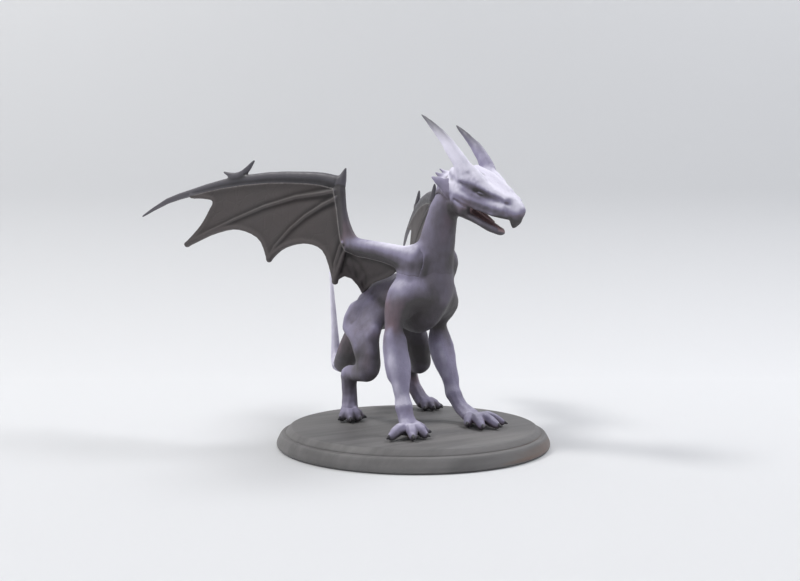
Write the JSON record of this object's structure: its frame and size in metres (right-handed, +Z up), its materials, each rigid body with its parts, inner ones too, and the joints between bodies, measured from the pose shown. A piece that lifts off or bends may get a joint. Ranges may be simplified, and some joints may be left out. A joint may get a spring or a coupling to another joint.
{
  "type": "painted miniature figure",
  "caption": "Painted dragon miniature on a round stepped base, cast in separate parts, with raised bat wings that pull off keyed tenons.",
  "frame": {"origin": "centre of the round base's flat underside", "axes": "+Z up; the dragon faces -Y; +X is to the dragon's left"},
  "size_m": [0.1082, 0.1223, 0.0887],
  "materials": {
    "painted_hide": "lavender acrylic brushed over dark grey primer, matt varnish",
    "painted_horn": "pale lavender, satin, darker tips",
    "dark_claw": "near-black, satin varnish",
    "wing_skin": "dark brown-grey wash, matt",
    "mouth_flesh": "dusky pink, gloss varnish",
    "base_paint": "mid grey, faint brushed streaks, matt",
    "brass_pin": "drawn wire",
    "steel_ballast": "zinc-plated, dull"
  },
  "bodies": {
    "figure": {"ballast_washer": "steel_ballast", "base_plate": "base_paint", "base_plinth": "base_paint", "cheek_frill_left": "painted_hide", "cheek_frill_right": "painted_hide", "fore_paw_left": "painted_hide", "fore_paw_left_pin": "brass_pin", "fore_paw_right": "painted_hide", "fore_paw_right_pin": "brass_pin", "foreleg_left": "painted_hide", "foreleg_right": "painted_hide", "head_pin": "brass_pin", "hind_leg_left": "painted_hide", "hind_leg_right": "painted_hide", "hind_paw_left": "painted_hide", "hind_paw_left_pin": "brass_pin", "hind_paw_right": "painted_hide", "hind_paw_right_pin": "brass_pin", "horn_left": "painted_horn", "horn_right": "painted_horn", "lower_jaw": "painted_hide", "neck": "painted_hide", "neck_pin": "brass_pin", "skull": "painted_hide", "tail_base": "painted_hide", "tail_root_pin": "brass_pin", "tail_tip": "painted_hide", "tail_tip_pin": "brass_pin", "tongue": "mouth_flesh", "torso": "painted_hide"},
    "wing_right": {"knuckle_claw_right": "dark_claw", "thumb_claw_right": "dark_claw", "wing_arm_right": "painted_hide", "wing_finger_right": "dark_claw", "wing_membrane_right": "wing_skin"},
    "wing_left": {"knuckle_claw_left": "dark_claw", "thumb_claw_left": "dark_claw", "wing_arm_left": "painted_hide", "wing_finger_left": "dark_claw", "wing_membrane_left": "wing_skin"}
  },
  "joints": [
    {"name": "right_wing_pull", "type": "slide", "parent": "figure", "child": "wing_right", "axis": [-0.8, 0, 0.6], "range_m": [0, 0.008]},
    {"name": "left_wing_pull", "type": "slide", "parent": "figure", "child": "wing_left", "axis": [0.8, 0, 0.6], "range_m": [0, 0.008]}
  ]
}
